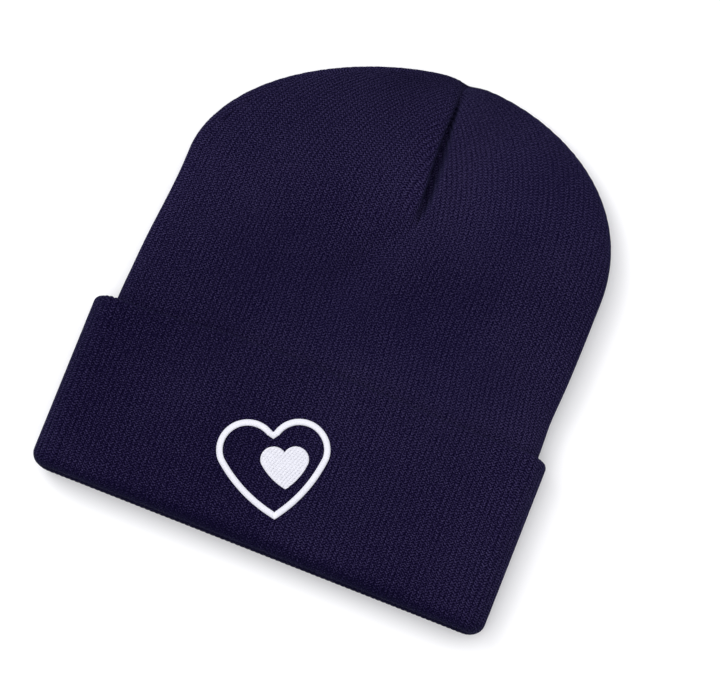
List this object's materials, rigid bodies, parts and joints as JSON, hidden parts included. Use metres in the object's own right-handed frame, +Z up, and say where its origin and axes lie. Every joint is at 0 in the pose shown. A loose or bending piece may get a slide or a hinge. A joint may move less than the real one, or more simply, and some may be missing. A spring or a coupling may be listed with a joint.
{
  "type": "knit beanie",
  "caption": "Double-layer rib-knit beanie with a dart-closed crown and a turned-up cuff that folds down, embroidered on the cuff, lying flat.",
  "frame": {"origin": "on the surface that the hat lies on, under the middle of its bounding box", "axes": "+Z up, +Y from the mouth towards the crown, +X to the right seen from above with the crown away"},
  "size_m": [0.2, 0.2168, 0.0225],
  "materials": {
    "knit": "matt navy acrylic rib knit",
    "seam_thread": "navy overlock thread",
    "embroidery_thread": "white satin-stitched thread",
    "backing": "white non-woven backing",
    "label": "plain woven ribbon, blank",
    "label_thread": "navy sewing thread"
  },
  "bodies": {
    "hat": {"outer_shell": "knit", "lining_shell": "knit", "hem_fold_outer_ply": "knit", "hem_fold_inner_ply": "knit", "crown_tack_knot": "seam_thread", "care_label": "label", "label_stitching": "label_thread", "crown_dart_front": "seam_thread", "crown_dart_back": "seam_thread", "crown_dart_left": "seam_thread", "crown_dart_right": "seam_thread", "lining_dart_front": "seam_thread", "lining_dart_back": "seam_thread", "lining_dart_left": "seam_thread", "lining_dart_right": "seam_thread"},
    "cuff_front": {"cuff_front_outer_ply": "knit", "cuff_front_inner_ply": "knit", "embroidery_backing": "backing", "heart_outline_embroidery": "embroidery_thread", "small_heart_embroidery": "embroidery_thread", "bobbin_stitching": "embroidery_thread"},
    "cuff_back": {"cuff_back_outer_ply": "knit", "cuff_back_inner_ply": "knit"},
    "cuff_left_fold": {"cuff_left_fold_outer_ply": "knit", "cuff_left_fold_inner_ply": "knit"},
    "cuff_right_fold": {"cuff_right_fold_outer_ply": "knit", "cuff_right_fold_inner_ply": "knit"}
  },
  "joints": [
    {"name": "cuff_front_turn", "type": "hinge", "parent": "hat", "child": "cuff_front", "pos_m": [0, -0.10771, 0.01805], "axis": [1, 0, 0], "range_deg": [0, 180], "deforming": ["hem_fold_outer_ply", "hem_fold_inner_ply"]},
    {"name": "cuff_back_turn", "type": "hinge", "parent": "hat", "child": "cuff_back", "pos_m": [0, -0.10771, 0.00335], "axis": [-1, 0, 0], "range_deg": [0, 180]},
    {"name": "cuff_left_fold_slide", "type": "slide", "parent": "hat", "child": "cuff_left_fold", "axis": [0, -1, 0], "range_m": [0, 0.07915]},
    {"name": "cuff_right_fold_slide", "type": "slide", "parent": "hat", "child": "cuff_right_fold", "axis": [0, -1, 0], "range_m": [0, 0.07915]}
  ],
  "couplings": [
    {"joint": "cuff_back_turn", "follows": "cuff_front_turn", "ratio": 1},
    {"joint": "cuff_left_fold_slide", "follows": "cuff_front_turn", "m_per_rad": 0.025194},
    {"joint": "cuff_right_fold_slide", "follows": "cuff_front_turn", "m_per_rad": 0.025194}
  ]
}
